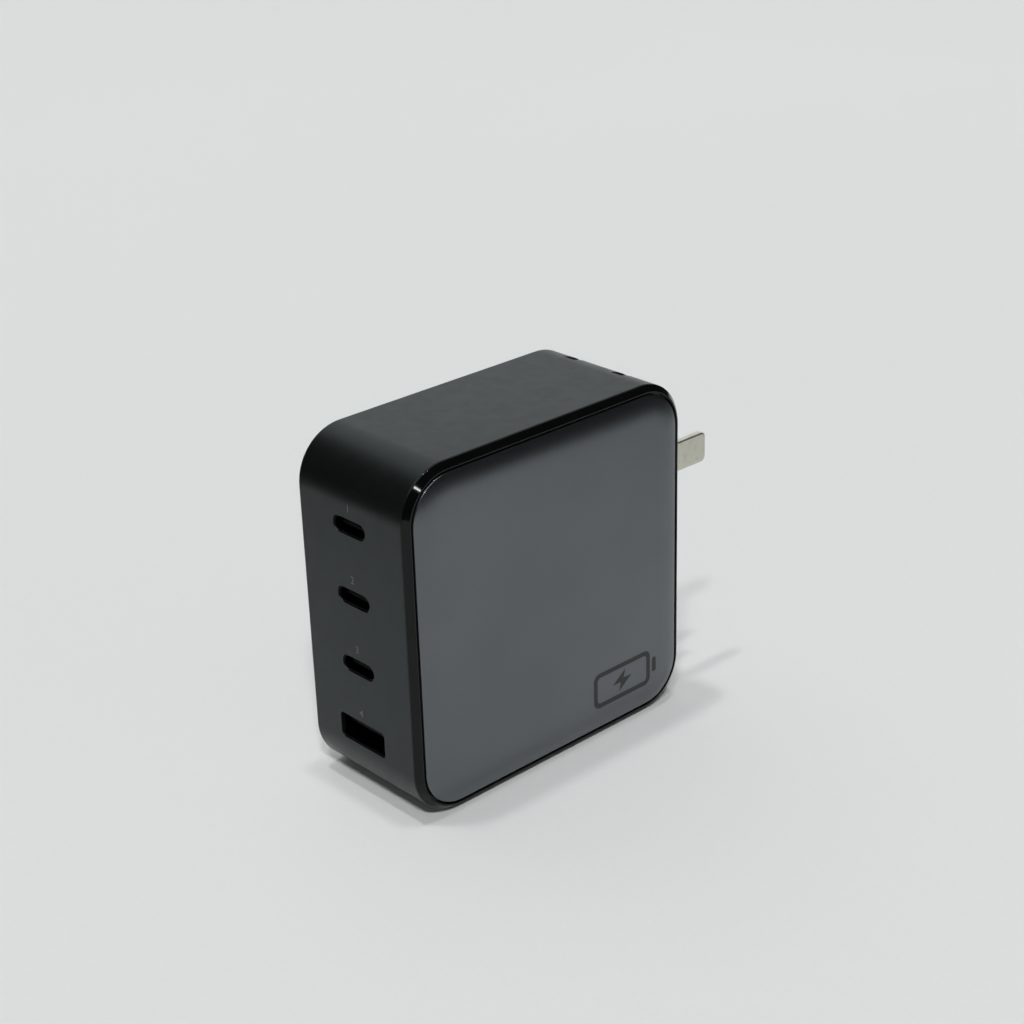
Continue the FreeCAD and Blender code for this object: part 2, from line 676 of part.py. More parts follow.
def make_oval_socket(doc, s, p, number, height):
    """Oval socket: drawn metal shell that stands in its opening, and an insulator with a thin tongue."""
    shell = Piece(doc, f"oval_socket_{number}_shell")
    inner_width, inner_height = s.oval_width - s.socket_wall * 2, s.oval_height - s.socket_wall * 2
    tube = shell.outline("YZ", 0)
    tube.oblong(as_size(0), as_size(0), s.oval_width, s.oval_height)
    tube.oblong(as_size(0), as_size(0), inner_width, inner_height)
    shell.pad(tube, p.oval_depth)

    core = Piece(doc, f"oval_socket_{number}_core")
    base = core.outline("YZ", p.oval_depth - s.core_base)
    base_width, base_height = (inner_width - inner_height) / 2, inner_height / 2 - s.core_gap
    base.rectangle(-base_width, base_width, -base_height, base_height)
    core.pad(base, s.core_base)
    tongue = core.outline("YZ", s.tongue_inset)
    half_width, half_thick = s.oval_tongue_width / 2, s.oval_tongue_thick / 2
    tongue.rectangle(-half_width, half_width, -half_thick, half_thick)
    core.pad(tongue, p.oval_depth - s.core_base - s.tongue_inset)
    for piece in (shell, core):
        place(piece.body, p.oval_mouth, as_size(0), height)
    return [shell.body, core.body]


def make_wide_socket(doc, s, p, height):
    """Wide socket: folded metal shell, and an insulator with a thick tongue."""
    shell = Piece(doc, "wide_socket_shell")
    half_width, half_height = s.wide_width / 2, s.wide_height / 2
    inner_width, inner_height = half_width - s.socket_wall, half_height - s.socket_wall
    inner_corner = s.wide_corner - s.socket_wall
    tube = shell.outline("YZ", 0)
    tube.rounded_rectangle(-half_width, half_width, -half_height, half_height, s.wide_corner)
    tube.rounded_rectangle(-inner_width, inner_width, -inner_height, inner_height, inner_corner)
    shell.pad(tube, s.socket_depth)

    core = Piece(doc, "wide_socket_core")
    base = core.outline("YZ", s.socket_depth - s.core_base)
    gap = s.core_gap
    base.rounded_rectangle(gap - inner_width, inner_width - gap, gap - inner_height, inner_height - gap,
                           inner_corner)
    core.pad(base, s.core_base)
    tongue = core.outline("YZ", s.tongue_inset)
    half_tongue, half_thick = s.wide_tongue_width / 2, s.wide_tongue_thick / 2
    tongue.rectangle(-half_tongue, half_tongue, s.wide_tongue_rise - half_thick,
                     s.wide_tongue_rise + half_thick)
    core.pad(tongue, s.socket_depth - s.core_base - s.tongue_inset)
    for piece in (shell, core):
        place(piece.body, p.mouth, as_size(0), height)
    return [shell.body, core.body]


def make_wound_core(doc, s, p, label, x, z, rise):
    """Ferrite core standing on the main board, with its bobbin and its coil round the middle leg."""
    left, right = x
    foot, top = z
    middle, across = (left + right) / 2, (foot + top) / 2
    core_foot, core_top = foot + s.coil_overhang, top - s.coil_overhang
    front = p.board - rise
    window_front, window_back = front + s.core_yoke, p.board - s.core_yoke
    leg = (right - left) * LEG_SHARE / 2
    side = (right - left) * SIDE_SHARE

    core = Piece(doc, f"{label}_core")
    section = core.outline("XY", core_foot)
    section.rectangle(left, right, front, p.board)
    section.rectangle(left + side, middle - leg, window_front, window_back)
    section.rectangle(middle + leg, right - side, window_front, window_back)
    core.pad(section, core_top - core_foot)

    hole_x = leg + s.fit_gap
    hole_z = (core_top - core_foot) / 2 + s.fit_gap
    tube_x, tube_z = hole_x + s.bobbin_wall, hole_z + s.bobbin_wall
    reach_x = (right - left) / 2 - side - s.coil_gap
    reach_z = (top - foot) / 2
    near, far = window_front + s.fit_gap, window_back - s.fit_gap

    def centred(half_x, half_z):
        return (middle - half_x, middle + half_x, across - half_z, across + half_z)

    bobbin = Piece(doc, f"{label}_bobbin")
    flange, tube = centred(reach_x, reach_z), centred(tube_x, tube_z)
    for start, length, around in ((far, s.bobbin_wall, flange), (far, far - near, tube),
                                  (near + s.bobbin_wall, s.bobbin_wall, flange)):
        ring = bobbin.outline("XZ", start)
        ring.rectangle(*around)
        ring.rectangle(*centred(hole_x, hole_z))
        bobbin.pad(ring, length)

    coil = Piece(doc, f"{label}_coil")
    wound = coil.outline("XZ", far - s.bobbin_wall)
    wound.rounded_rectangle(*flange, s.coil_corner)
    wound.rectangle(*tube)
    coil.pad(wound, far - near - s.bobbin_wall * 2)
    return [core.body, bobbin.body, coil.body]


def make_line_choke(doc, s, p):
    """Ferrite ring on edge, with a winding on each side of it."""
    y = p.board - s.ring_radius
    z = p.boost_top - s.ring_radius - s.ring_wire
    low, high = -p.ring_thick / 2, p.ring_thick / 2
    wire = s.ring_wire
    made = []
    ring = Piece(doc, "line_choke_core")
    section = ring.outline("XZ", 0)
    section.rectangle(low, high, s.ring_bore, s.ring_radius)
    ring.revolve(section, "H_Axis")
    made.append(ring.body)
    for number, side in ((1, 1), (2, -1)):
        winding = Piece(doc, f"line_choke_winding_{number}")
        section = winding.outline("XZ", 0)
        section.rectangle(low - wire, high + wire, (s.ring_bore - wire) * side, (s.ring_radius + wire) * side)
        section.rectangle(low, high, s.ring_bore * side, s.ring_radius * side)
        winding.revolve(section, "H_Axis", s.ring_sweep)
        made.append(winding.body)
    for body in made:
        place(body, p.choke_x, y, z)
    return made


def make_can(doc, label, radius, length, x, y, z):
    """Capacitor can standing on the main board."""
    can = doc.addObject("Part::Cylinder", label)
    can.Label = label
    bind(can, "Radius", radius)
    bind(can, "Height", length)
    can.Placement = FreeCAD.Placement(FreeCAD.Vector(), FreeCAD.Rotation(FreeCAD.Vector(1, 0, 0), 90))
    place(can, x, y, z)
    return can


def make_cans(doc, s, p):
    """Mains capacitors in a row under the top, and output capacitors in a column by the port board."""
    made = []
    for i in range(MAINS_CANS):
        x = p.cans_left + p.mains_radius + (p.mains_radius * 2 + s.part_gap) * i
        made.append(make_can(doc, f"mains_capacitor_{i + 1}", p.mains_radius,
                             p.board - p.spreader - s.can_headroom, x, p.board, p.mains_z))
    for i in range(OUTPUT_CANS):
        z = p.board_foot + p.can_radius + (p.can_radius * 2 + s.part_gap) * i
        made.append(make_can(doc, f"output_capacitor_{i + 1}", p.can_radius,
                             s.output_can_length, p.cans_left + p.can_radius, p.board, z))
    return made


def make_input_parts(doc, s, p):
    """Bridge rectifier, fuse and filter capacitor in a column under the plug cradle."""
    x = (p.input_left, p.board_right)
    bridge_foot = p.board_foot + s.input_foot
    bridge_top = bridge_foot + s.bridge_length
    bridge = block(doc, "bridge_rectifier", x, (p.board - s.bridge_height, p.board),
                   (bridge_foot, bridge_top))

    fuse = Piece(doc, "fuse")
    fuse_foot = bridge_top + s.part_gap
    tube = fuse.outline("XY", fuse_foot)
    tube.circle((x[0] + x[1]) / 2, p.board - s.fuse_radius, s.fuse_radius)
    fuse.pad(tube, s.fuse_length)

    film_foot = fuse_foot + s.fuse_length + s.part_gap
    film = block(doc, "filter_capacitor", x, (p.board - s.filter_height, p.board),
                 (film_foot, p.notch_z - s.part_gap))
    return [bridge, fuse.body, film]


def make_chips(doc, s, p):
    """Power switches and controllers, flat on the boards."""
    y = (p.board - s.chip_height, p.board)
    x = (p.middle_right - p.switch_width, p.middle_right)
    made = []
    labels = ("boost_switch", "main_switch", "mains_controller")
    pitch = (p.boost_foot - p.board_foot - s.part_gap) / len(labels)
    for i, label in enumerate(labels):
        foot = p.board_foot + s.part_gap + pitch * i
        made.append(block(doc, label, x, y, (foot, foot + pitch - s.part_gap)))
    half = p.switch_width / 2
    made.append(block(doc, "output_controller", (p.port_board_back, p.port_board_back + s.chip_height),
                      (-half, half), (p.ports[-1] - half, p.ports[-1] + half)))
    return made


def make_inductors(doc, s, p):
    """One moulded inductor behind each oval socket."""
    half = s.inductor_side / 2
    x = (p.port_board_back, p.port_board_back + s.inductor_height)
    return [block(doc, f"output_inductor_{i + 1}", x, (-half, half), (z - half, z + half))
            for i, z in enumerate(p.ports[:OVAL_PORTS])]


def make_cooling(doc, s, p, transformer_x, transformer_z):
    """Thermal pad on the transformer, folded heat spreader over everything, film under the front."""
    pad = block(doc, "thermal_pad", transformer_x, (p.spreader, p.pad),
                (transformer_z[0] + s.coil_overhang, transformer_z[1] - s.coil_overhang))
    low, high = p.spreader_foot, p.spreader_top
    spreader = Piece(doc, "heat_spreader")
    fold = spreader.outline("YZ", p.cans_left)
    end = p.film + s.spreader_flange
    thick = s.spreader_thick
    fold.polygon([(p.film, low), (end, low), (end, low + thick), (p.spreader, low + thick),
                  (p.spreader, high - thick), (end, high - thick), (end, high), (p.film, high)])
    spreader.pad(fold, p.middle_right - p.cans_left)
    film = block(doc, "insulating_film", (p.cans_left, p.middle_right), (p.frame_inside, p.film), (low, high))
    return [pad, spreader.body, film]


def make_pieces(doc, s, p):
    """Every piece of the charger, outside first."""
    pieces = [make_shell(doc, s, p), make_front_frame(doc, s, p), make_front_panel(doc, s, p)]
    pieces += [make_plug_cradle(doc, s, p), make_plug_rotor(doc, s, p)]
    drops = (p.room + s.spring_tab, s.spring_tab * 2)
    for name, y, drop in zip(("front", "rear"), p.blade_y, drops):
        pieces.append(make_blade(doc, s, p, f"blade_{name}", y))
        pieces.append(make_contact_spring(doc, s, p, f"contact_spring_{name}", y, drop))
    pieces += make_boards(doc, s, p)
    for i, height in enumerate(p.ports[:OVAL_PORTS], start=1):
        pieces += make_oval_socket(doc, s, p, i, height)
    pieces += make_wide_socket(doc, s, p, p.ports[-1])
    transformer_x = (p.middle_left, p.middle_right - p.switch_width - s.part_gap)
    transformer_z = (p.board_foot + s.part_gap, p.boost_foot - s.part_gap)
    pieces += make_wound_core(doc, s, p, "transformer", transformer_x, transformer_z, p.board - p.pad)
    boost_x = (p.middle_left, p.boost_right)
    pieces += make_wound_core(doc, s, p, "boost_inductor", boost_x, (p.boost_foot, p.boost_top), s.boost_rise)
    pieces += make_line_choke(doc, s, p)
    pieces += make_cans(doc, s, p)
    pieces += make_input_parts(doc, s, p)
    pieces += make_chips(doc, s, p)
    pieces += make_inductors(doc, s, p)
    pieces += make_cooling(doc, s, p, transformer_x, transformer_z)
    return pieces


def check(doc, pieces):
    """Stops on any failed feature and any piece that isn't one valid solid."""
    failed = [item.Label for item in doc.Objects if {"Invalid", "Error"} & set(item.State)]
    failed += [piece.Label for piece in pieces
               if piece.Shape.isNull() or not piece.Shape.isValid() or len(piece.Shape.Solids) != 1]
    if failed:
        raise RuntimeError("failed: " + ", ".join(failed))


def main():
    doc = FreeCAD.newDocument("charger")
    sizes = make_sheet(doc)
    pieces = make_pieces(doc, sizes, find_places(sizes))
    doc.recompute()
    check(doc, pieces)
    os.makedirs("parts", exist_ok=True)
    for piece in pieces:
        piece.Shape.exportStep(f"parts/{piece.Label}.step")
    print(len(pieces), "pieces")


main()
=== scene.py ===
import math

import bmesh
import bpy
from bpy.props import FloatProperty, FloatVectorProperty, IntProperty, PointerProperty
from mathutils import Matrix, Vector


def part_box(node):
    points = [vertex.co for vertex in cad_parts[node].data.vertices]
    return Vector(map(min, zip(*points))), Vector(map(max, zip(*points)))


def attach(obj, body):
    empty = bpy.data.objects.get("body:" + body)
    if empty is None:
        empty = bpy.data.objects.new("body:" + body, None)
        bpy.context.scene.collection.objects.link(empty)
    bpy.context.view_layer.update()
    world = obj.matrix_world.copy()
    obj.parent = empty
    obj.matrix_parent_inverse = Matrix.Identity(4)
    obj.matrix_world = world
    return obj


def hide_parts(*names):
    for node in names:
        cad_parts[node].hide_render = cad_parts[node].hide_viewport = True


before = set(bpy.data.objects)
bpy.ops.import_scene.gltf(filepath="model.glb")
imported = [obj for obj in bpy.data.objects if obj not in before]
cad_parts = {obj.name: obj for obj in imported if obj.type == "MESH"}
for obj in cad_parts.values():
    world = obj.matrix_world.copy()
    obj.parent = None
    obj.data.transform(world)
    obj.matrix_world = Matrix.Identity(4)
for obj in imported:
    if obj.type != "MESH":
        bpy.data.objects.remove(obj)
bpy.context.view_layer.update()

bl_info = {
    "name": "Folding wall charger",
    "version": (1, 0, 0),
    "blender": (4, 5, 0),
    "location": "3D View > Sidebar > Charger",
    "description": "Dresses the packed charger: housing, glossy frame, crowned panel, sockets and plug",
    "category": "Object",
}

MM = 0.001
SHELL_LOW, SHELL_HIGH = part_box("shell")
FRAME_LOW, FRAME_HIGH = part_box("front_frame")
PANEL_LOW, PANEL_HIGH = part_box("front_panel")
HOUSING = "housing"
PLUG = "plug"
SOCKETS = ("oval_socket_1", "oval_socket_2", "oval_socket_3", "wide_socket")
UP = Vector((0, 0, 1))
RIGHT = Vector((1, 0, 0))
FORWARD = Vector((0, -1, 0))

# Where most of a noise's values lie
NOISE_LOW, NOISE_HIGH = 0.3, 0.7
# Wave scale that gives one band a millimetre
WAVE_RATE = 0.314
# Points closer than this are one
WELD = 1e-6
# Faces that bend less than the first angle are one face, and edges that bend more than the second are rounded
FLAT_BEND, SHARP_BEND = math.radians(0.4), math.radians(28)
# Flat run at the end of a rim's section, in edge radii
END_RUN = 4.0
# Font size over the height of its digits
FONT_RATIO = 1.4
SENSOR_WIDTH = 36.0

# Name, way to the lamp, share of the key light, angle across in degrees, whether it shows in the gloss
CEILING_LAMPS = (
    ("ceiling_lamp_1", (0.045, -0.03, 1.0), 0.12, 3.0, True),
    ("ceiling_lamp_2", (-0.113, 0.115, 1.0), 0.16, 4.0, True),
    ("ceiling_lamp_3", (-0.536, -0.448, 1.0), 0.175, 5.0, True),
    ("window_light", (-0.46, -0.64, 1.0), 0.275, 5.0, False),
    ("back_light", (0.1, 0.8, 1.0), 0.105, 60.0, False),
)
# Name, place of the foot, width and height in metres
CARDS = (
    ("left_card", (-0.145, 0.155), 0.46, 0.3),
    ("right_card", (0.175, -0.152), 0.6, 0.8),
    ("front_card", (-0.3, -0.42), 1.4, 0.9),
)


def length(name, description, default):
    """A size in millimetres, kept as metres."""
    return FloatProperty(name=name, description=description, default=default * MM, min=0.0, unit="LENGTH",
                         precision=5)


def position(name, description, default):
    """A point in millimetres, kept as metres."""
    return FloatVectorProperty(name=name, description=description, default=[item * MM for item in default],
                               size=len(default), subtype="TRANSLATION", unit="LENGTH")


def portion(name, description, default):
    """A number from 0 to 1."""
    return FloatProperty(name=name, description=description, default=default, min=0.0, max=1.0,
                         subtype="FACTOR")


def bearing(name, description, default):
    """An angle in degrees, kept as radians."""
    return FloatProperty(name=name, description=description, default=math.radians(default), subtype="ANGLE")


def colour(name, description, default):
    """A colour, as shares of red, green and blue."""
    return FloatVectorProperty(name=name, description=description, default=default, size=3, min=0.0, max=1.0,
                               subtype="COLOR")


class HousingLooks(bpy.types.PropertyGroup):
    corner: length("Corner", "Radius of the outline's corners", 10.0)
    steps: IntProperty(name="Corner steps", description="Faces round each corner", default=28, min=4)
    edge: length("Edge", "Rounding of the moulded edges", 0.12)
    ink_room: length("Ink room", "Printed ink above the socket side", 0.012)
    sheen: portion("Sheen", "Strength of the plastic's reflections", 0.36)
    plastic: colour("Plastic", "Matt housing plastic", (0.0042, 0.0046, 0.0047))
    tint: colour("Tint", "Colour of the plastic's reflections", (0.86, 0.98, 1.0))


class FrameLooks(bpy.types.PropertyGroup):
    land: length("Land", "Upright edge under the bevel", 0.15)
    bevel: length("Bevel", "Width of the sloping face", 1.05)
    opening: length("Opening", "Housing outline to the groove", 1.4)
    recess: length("Recess", "Depth of the groove round the panel", 0.9)
    plate: length("Plate", "Thickness behind the panel", 1.2)
    lip_inset: length("Lip inset", "Housing outline to the lip", 2.3)
    lip_wall: length("Lip wall", "Thickness of the lip", 1.2)
    edge: length("Edge", "Rounding of the frame's edges", 0.09)
    rim: length("Rim", "Rounding of the sloping face's edges", 0.22)
    gloss: colour("Gloss black", "Polished frame", (0.002, 0.0022, 0.0023))
    sheen: portion("Sheen", "Strength of the frame's reflections", 0.23)


class PanelLooks(bpy.types.PropertyGroup):
    inset: length("Inset", "Housing outline to the panel's edge", 1.8)
    side: length("Side", "Height of the panel's edge", 1.0)
    reach: length("Roll", "Width of the roll-off at the edge", 6.4)
    fade: FloatProperty(name="Fade", description="How soon the roll-off flattens", default=3.2, min=1.0)
    steps: IntProperty(name="Roll steps", description="Faces across the roll-off", default=28, min=4)
    edge: length("Edge", "Rounding of the panel's rim", 0.3)
    ink_room: length("Ink room", "Printed ink above the panel", 0.012)
    satin: colour("Satin", "Satin panel plastic", (0.141, 0.15, 0.161))
    metal: portion("Metal", "Share of metallic flake in the panel's paint", 0.95)


class MarkLooks(bpy.types.PropertyGroup):
    middle: position("Middle", "Middle of the sign, across the panel and up", (17.0, 10.4))
    width: length("Width", "Width of the case", 15.6)
    height: length("Height", "Height of the case", 7.6)
    line: length("Line", "Thickness of the case's line", 1.0)
    corner: length("Corner", "Radius of the case's corners", 1.6)
    hollow_corner: length("Hollow corner", "Radius of the hollow's corners", 0.8)
    knob_width: length("Knob width", "Width of the knob beside the case", 1.1)
    knob_height: length("Knob height", "Height of the knob", 3.2)
    knob_corner: length("Knob corner", "Radius of the knob's corners", 0.4)
    knob_gap: length("Knob gap", "Case to knob", 0.6)
    bolt_tip: position("Bolt tip", "Upper tip of the bolt", (0.9, 2.2))
    bolt_wing: position("Bolt wing", "Right-hand corner of the bolt", (2.6, 0.35))
    bolt_waist: position("Bolt waist", "Inner corner of the bolt", (0.35, 0.35))
    cover: portion("Cover", "Share of the ink room that the ink fills", 0.8)
    ink: colour("Ink", "Printed sign", (0.009, 0.0095, 0.01))


class PlugLooks(bpy.types.PropertyGroup):
    edge: length("Edge", "Rounding of the blades' and barrel's edges", 0.08)
    bed_edge: length("Bed edge", "Rounding of the cradle's edges", 0.02)
    nickel: colour("Nickel", "Plated blades", (0.67, 0.65, 0.565))
    insulator: colour("Insulator", "Barrel and cradle", (0.02, 0.021, 0.022))


class SocketLooks(bpy.types.PropertyGroup):
    edge: length("Edge", "Rounding of the socket mouths", 0.06)
    plating: colour("Plating", "Dark plated sleeves", (0.014, 0.014, 0.015))
    tongue: colour("Tongue", "Insulators in the sockets", (0.003, 0.003, 0.0032))
    print_height: length("Print height", "Height of the numbers", 1.5)
    print_rise: length("Print rise", "Numbers above the socket's middle", 3.0)
    print_gap: length("Print gap", "Numbers above the socket's edge", 0.9)
    cover: portion("Cover", "Share of the ink room that the ink fills", 0.6)
    print_ink: colour("Print", "Numbers by the sockets", (0.1, 0.1, 0.098))


class StageLooks(bpy.types.PropertyGroup):
    floor: colour("Floor", "Pale table top", (0.74, 0.76, 0.755))
    level: FloatProperty(name="Level", description="Even light on the table", default=0.93)
    even: portion("Even", "Share of the table's even light", 0.02)
    floor_reach: length("Floor reach", "Half the table's side", 4000.0)
    key: FloatProperty(name="Key", description="Strength of the ceiling lamps", default=3.6)
    glint: FloatProperty(name="Glint", description="Power of the small lamp", default=0.07, subtype="POWER")
    glint_place: position("Glint place", "Small lamp beside the camera", (-193.0, -321.0, 345.0))
    glint_aim: position("Glint aim", "Point that the small lamp faces", (0.0, 0.0, 30.0))
    glint_size: length("Glint size", "Side of the small lamp", 20.0)
    card: colour("Card", "Black cards round the charger", (0.004, 0.004, 0.004))
    card_speck: colour("Card speck", "Specks in the cards", (0.008, 0.008, 0.008))
    backdrop: colour("Backdrop", "Walls of the room", (0.95, 1.0, 1.0))
    backdrop_level: FloatProperty(name="Backdrop level", description="Brightness of the walls", default=0.78)
    sky: FloatProperty(name="Sky", description="Strength of the walls' soft fill", default=0.13)
    azimuth: bearing("Azimuth", "Camera round the charger", -42.239)
    elevation: bearing("Elevation", "Camera above the horizon", 24.355)
    roll: bearing("Roll", "Camera tilt", -1.802)
    distance: length("Distance", "Camera to target", 376.316)
    near: length("Near", "Closest point that the camera shows", 10.0)
    lens: FloatProperty(name="Lens", description="Focal length on a 36 mm sensor, mm", default=69.955)
    target: position("Target", "Point that the camera looks at", (3.831, -0.55, 45.698))


class Value:
    """A number that varies over a surface; sums and products add the nodes they need."""

    def __init__(self, finish, socket):
        self.finish = finish
        self.socket = socket

    def joined(self, operation, first, second):
        return self.finish.add("ShaderNodeMath", {"operation": operation}, {0: first, 1: second})

    def __add__(self, other):
        return self.joined("ADD", self, other)

    def __radd__(self, other):
        return self.joined("ADD", other, self)

    def __sub__(self, other):
        return self.joined("SUBTRACT", self, other)

    def __rsub__(self, other):
        return self.joined("SUBTRACT", other, self)

    def __mul__(self, other):
        return self.joined("MULTIPLY", self, other)

    def __rmul__(self, other):
        return self.joined("MULTIPLY", other, self)

    def above(self, limit):
        return self.joined("GREATER_THAN", self, limit)


class Graph:
    """A node tree that is filled from Python."""

    def __init__(self, owner):
        owner.use_nodes = True
        self.tree = owner.node_tree
        self.tree.nodes.clear()

    def put(self, socket, item):
        """Sets a socket to a value, or links it."""
        if isinstance(item, Value):
            self.tree.links.new(item.socket, socket)
        elif socket.type == "RGBA" and len(item) == 3:
            socket.default_value = (*item, 1.0)
        else:
            socket.default_value = item

    def add(self, kind, settings=(), sockets=(), output=0):
        """A node with its settings and sockets; gives one of its outputs."""
        node = self.tree.nodes.new(kind)
        for key, item in dict(settings).items():
            setattr(node, key, item)
        for key, item in dict(sockets).items():
            self.put(node.inputs[key], item)
        return Value(self, node.outputs[output] if node.outputs else None)


class Finish(Graph):
    """A material with one surface shader."""

    def __init__(self, name):
        self.material = bpy.data.materials.new(name)
        super().__init__(self.material)
        surface = self.add("ShaderNodeBsdfPrincipled")
        self.shader = surface.socket.node
        self.add("ShaderNodeOutputMaterial", sockets={"Surface": surface})
        self.output = self.tree.nodes[-1]

    def set(self, **sockets):
        """Sets the surface's own sockets; underscores stand for spaces."""
        for key, item in sockets.items():
            self.put(self.shader.inputs[key.replace("_", " ")], item)

    def glow(self, shade, strength, part):
        """Lays even light over a part of the surface."""
        light = self.add("ShaderNodeEmission", sockets={"Color": shade, "Strength": strength})
        surface = Value(self, self.shader.outputs[0])
        mixed = self.add("ShaderNodeMixShader", sockets={0: part, 1: surface, 2: light})
        self.put(self.output.inputs["Surface"], mixed)

    def place(self, stretch=(1, 1, 1)):
        """A point of the surface in millimetres, stretched along the axes."""
        point = self.add("ShaderNodeTexCoord", output="Object")
        scale = [item / MM for item in stretch]
        return self.add("ShaderNodeMapping", sockets={"Vector": point, "Scale": scale})

    def noise(self, point, scale, detail=2.0, roughness=0.5):
        """Soft clouds, with so many to a millimetre."""
        return self.add("ShaderNodeTexNoise", sockets={"Vector": point, "Scale": scale, "Detail": detail,
                                                       "Roughness": roughness})

    def specks(self, point, scale, size):
        """Small round specks: 1 inside, 0 outside."""
        cells = self.add("ShaderNodeTexVoronoi", sockets={"Vector": point, "Scale": scale}, output="Distance")
        return 1.0 - cells.above(size)

    def spread(self, value, to_low, to_high, low=NOISE_LOW, high=NOISE_HIGH):
        """A value carried from one range to another."""
        return self.add("ShaderNodeMapRange", sockets={"Value": value, "From Min": low, "From Max": high,
                                                       "To Min": to_low, "To Max": to_high})

    def blend(self, part, first, second):
        """A colour between two."""
        return self.add("ShaderNodeMix", {"data_type": "RGBA"}, {0: part, 6: first, 7: second}, output=2)

    def toned(self, part, shade, dark, light):
        """A colour between a darker and a lighter copy of a shade."""
        return self.blend(part, scaled(shade, dark), scaled(shade, light))

    def bump(self, height, depth):
        """Small relief, in millimetres."""
        return self.add("ShaderNodeBump", sockets={"Height": height, "Distance": depth * MM, "Strength": 1.0})


def scaled(shade, factor):
    """A lighter or darker copy of a colour."""
    return tuple(min(1.0, part * factor) for part in shade)


def matt_plastic(name, shade, grain, roughness, sheen=0.5, tint=(1.0, 1.0, 1.0)):
    """Moulded plastic with a spark-eroded grain and faint handling marks."""
    finish = Finish(name)
    point = finish.place()
    fine = finish.noise(point, scale=5.5, detail=3.0, roughness=0.6)
    broad = finish.noise(point, scale=0.05, detail=3.0)
    cloud = finish.noise(point, scale=0.4)
    tone = finish.spread(fine * 0.35 + broad * 0.65, 0.0, 1.0)
    finish.set(Base_Color=finish.toned(tone, shade, dark=0.93, light=1.08),
               Roughness=finish.spread(cloud, roughness - 0.03, roughness + 0.03),
               Specular_IOR_Level=sheen, Specular_Tint=tint, Normal=finish.bump(fine, grain))
    return finish.material


def gloss_plastic(name, shade, sheen):
    """Polished black plastic with faint wipe marks."""
    finish = Finish(name)
    wipes = finish.noise(finish.place(stretch=(0.15, 1.0, 1.0)), scale=0.9, detail=4.0)
    waves = finish.noise(finish.place(), scale=0.12, detail=1.0)
    tone = finish.spread(waves, 0.0, 1.0)
    finish.set(Base_Color=finish.toned(tone, shade, dark=0.85, light=1.2),
               Roughness=finish.spread(wipes, 0.07, 0.12, low=0.35, high=0.75),
               Specular_IOR_Level=sheen, Normal=finish.bump(waves, depth=0.002))
    return finish.material


def satin_paint(name, shade, metal):
    """Satin panel paint: very fine flake, slow tonal drift and a few specks of dust."""
    finish = Finish(name)
    point = finish.place()
    fine = finish.noise(point, scale=9.0, roughness=0.6)
    drift = finish.noise(point, scale=0.035)
    dust = finish.specks(point, scale=0.55, size=0.028)
    dust_grey = (0.5, 0.5, 0.48)
    tone = finish.spread(drift * 0.8 + fine * 0.2, 0.0, 1.0)
    clean = finish.toned(tone, shade, dark=0.94, light=1.07)
    finish.set(Base_Color=finish.blend(dust * 0.12, clean, dust_grey), Metallic=metal,
               Roughness=finish.spread(fine, 0.27, 0.33) + dust * 0.2,
               Normal=finish.bump(fine, depth=0.0006))
    return finish.material


def ink(name, shade):
    """Printed ink, slightly uneven."""
    finish = Finish(name)
    grain = finish.noise(finish.place(), scale=7.0)
    finish.set(Base_Color=finish.toned(grain, shade, dark=0.85, light=1.15),
               Roughness=finish.spread(grain, 0.4, 0.5))
    return finish.material


def plated_metal(name, shade, roughness, stretch):
    """Plated sheet with drawing marks along it, small stains and finer scratches."""
    finish = Finish(name)
    lines = finish.noise(finish.place(stretch), scale=6.0, detail=3.0, roughness=0.65)
    stains = finish.noise(finish.place(), scale=0.7, detail=3.0)
    stained = finish.spread(stains, 0.0, 0.35, low=0.5, high=0.75)
    bright = finish.toned(lines, shade, dark=0.88, light=1.1)
    dull = scaled(shade, 0.62)
    finish.set(Base_Color=finish.blend(stained, bright, dull), Metallic=1.0,
               Roughness=finish.spread(lines, roughness - 0.06, roughness + 0.06) + stained * 0.2,
               Normal=finish.bump(lines, depth=0.0015))
    return finish.material


def board_mask(name):
    """Green solder mask with paler tracks under it and tinned pads."""
    finish = Finish(name)
    point = finish.place()
    layout = {"Vector": point, "Scale": 0.35, "Mortar Size": 0.035, "Brick Width": 1.4}
    tracks = finish.add("ShaderNodeTexBrick", {"offset": 0.37}, layout, output="Fac")
    pads = finish.specks(point, scale=0.5, size=0.12)
    mask_green, track_green, tin = (0.012, 0.085, 0.045), (0.02, 0.15, 0.07), (0.6, 0.6, 0.58)
    green = finish.blend(tracks, mask_green, track_green)
    finish.set(Base_Color=finish.blend(pads, green, tin), Metallic=pads * 0.9,
               Roughness=0.32 + finish.noise(point, scale=2.0) * 0.1, Normal=finish.bump(tracks, depth=0.02))
    return finish.material


def speckled(name, shade, speck, scale, roughness, metallic=0.0, relief=0.01):
    """Sintered, moulded or soft material with fine specks through it."""
    finish = Finish(name)
    point = finish.place()
    grain = finish.noise(point, scale, detail=4.0, roughness=0.6)
    spots = finish.specks(point, scale * 0.6, size=0.22)
    finish.set(Base_Color=finish.blend(spots * 0.6 + grain * 0.3, shade, speck), Metallic=metallic,
               Roughness=finish.spread(grain, roughness - 0.05, roughness + 0.05),
               Normal=finish.bump(grain, relief))
    return finish.material


